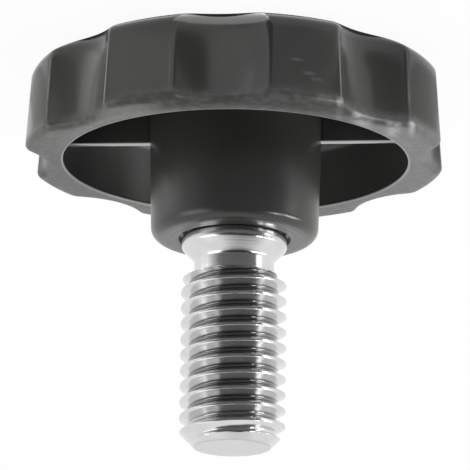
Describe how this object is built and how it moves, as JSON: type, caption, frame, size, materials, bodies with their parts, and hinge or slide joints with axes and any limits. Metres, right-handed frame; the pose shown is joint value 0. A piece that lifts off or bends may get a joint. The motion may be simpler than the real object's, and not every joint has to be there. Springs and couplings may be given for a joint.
{
  "type": "threaded hand knob",
  "caption": "Lobed plastic hand knob with a scalloped grip, a hollow underside, a round hub and a threaded steel stud, for clamping or adjusting by hand.",
  "frame": {"origin": "centre of the flat top face, on which the knob stands", "axes": "+Z along the stud towards its tip, +X along one of the two ribs in the hollow"},
  "size_m": [0.039, 0.039, 0.0367],
  "materials": {
    "black_plastic": "moulded black plastic with a satin shine",
    "plated_steel": "turned steel with bright zinc plating"
  },
  "bodies": {
    "root": {"knob_body": "black_plastic", "threaded_stud": "plated_steel"}
  },
  "joints": []
}
